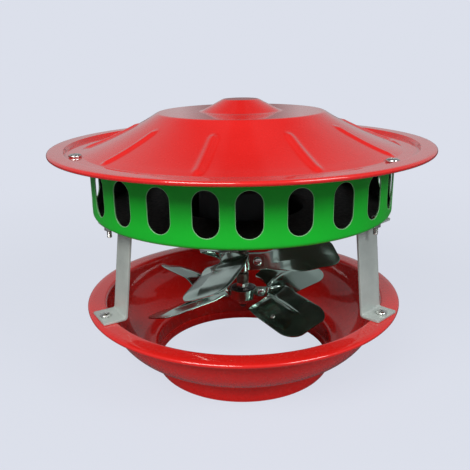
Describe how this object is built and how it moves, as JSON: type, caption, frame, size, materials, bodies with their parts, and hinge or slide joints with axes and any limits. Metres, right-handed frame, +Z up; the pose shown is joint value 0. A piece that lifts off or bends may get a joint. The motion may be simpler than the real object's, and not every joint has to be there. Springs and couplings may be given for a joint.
{
  "type": "chimney draught fan",
  "caption": "Red enamelled chimney draught fan: ribbed rain cap over a green slotted motor pan, held by straps above a bowl-shaped collar base, with sheet-metal fan blades on the shaft.",
  "frame": {"origin": "centre of the collar's lower edge", "axes": "+Z up along the shaft and the flue's centreline, -Y towards the front, +X to the right"},
  "size_m": [0.39, 0.39, 0.2921],
  "materials": {
    "red_enamel": "high-gloss red enamel with fine orange peel",
    "green_enamel": "satin bright green powder coat",
    "galvanised": "dull galvanised steel with rolling marks",
    "blade_sheet": "smooth reflective galvanised sheet",
    "zinc": "bright zinc plate",
    "shaft_steel": "turned steel, lightly browned",
    "dark_steel": "dark oiled steel",
    "motor_paint": "satin dark grey paint",
    "bronze": "plain bearing bronze"
  },
  "bodies": {
    "housing": {"base_flange": "red_enamel", "cap_bolt_1": "zinc", "cap_bolt_2": "zinc", "cap_bolt_3": "zinc", "cap_nut_1": "zinc", "cap_nut_2": "zinc", "cap_nut_3": "zinc", "foot_nut_1": "zinc", "foot_nut_2": "zinc", "foot_nut_3": "zinc", "foot_screw_1": "zinc", "foot_screw_2": "zinc", "foot_screw_3": "zinc", "motor_end_cover": "motor_paint", "motor_housing": "motor_paint", "motor_nut_1": "zinc", "motor_nut_2": "zinc", "motor_nut_3": "zinc", "motor_screw_1": "zinc", "motor_screw_2": "zinc", "motor_screw_3": "zinc", "rain_cap": "red_enamel", "shaft_bush": "bronze", "slotted_pan": "green_enamel", "strap_back": "galvanised", "strap_bolt_1": "zinc", "strap_bolt_2": "zinc", "strap_bolt_3": "zinc", "strap_left": "galvanised", "strap_nut_1": "zinc", "strap_nut_2": "zinc", "strap_nut_3": "zinc", "strap_right": "galvanised"},
    "rotor": {"end_nut": "zinc", "fan_shaft": "shaft_steel", "hub_drum": "dark_steel", "lock_nut": "zinc", "lower_clamp_bolt_left": "zinc", "lower_clamp_bolt_right": "zinc", "lower_clamp_nut_left": "zinc", "lower_clamp_nut_right": "zinc", "lower_fan_strip_back": "blade_sheet", "lower_fan_strip_front": "blade_sheet", "spacer_sleeve": "galvanised", "upper_clamp_bolt_left": "zinc", "upper_clamp_bolt_right": "zinc", "upper_clamp_nut_left": "zinc", "upper_clamp_nut_right": "zinc", "upper_fan_strip_back": "blade_sheet", "upper_fan_strip_front": "blade_sheet", "upper_sleeve": "shaft_steel"}
  },
  "joints": [
    {"name": "fan_spin", "type": "hinge", "parent": "housing", "child": "rotor", "pos_m": [0, 0, 0.115], "axis": [0, 0, 1], "continuous": true}
  ]
}
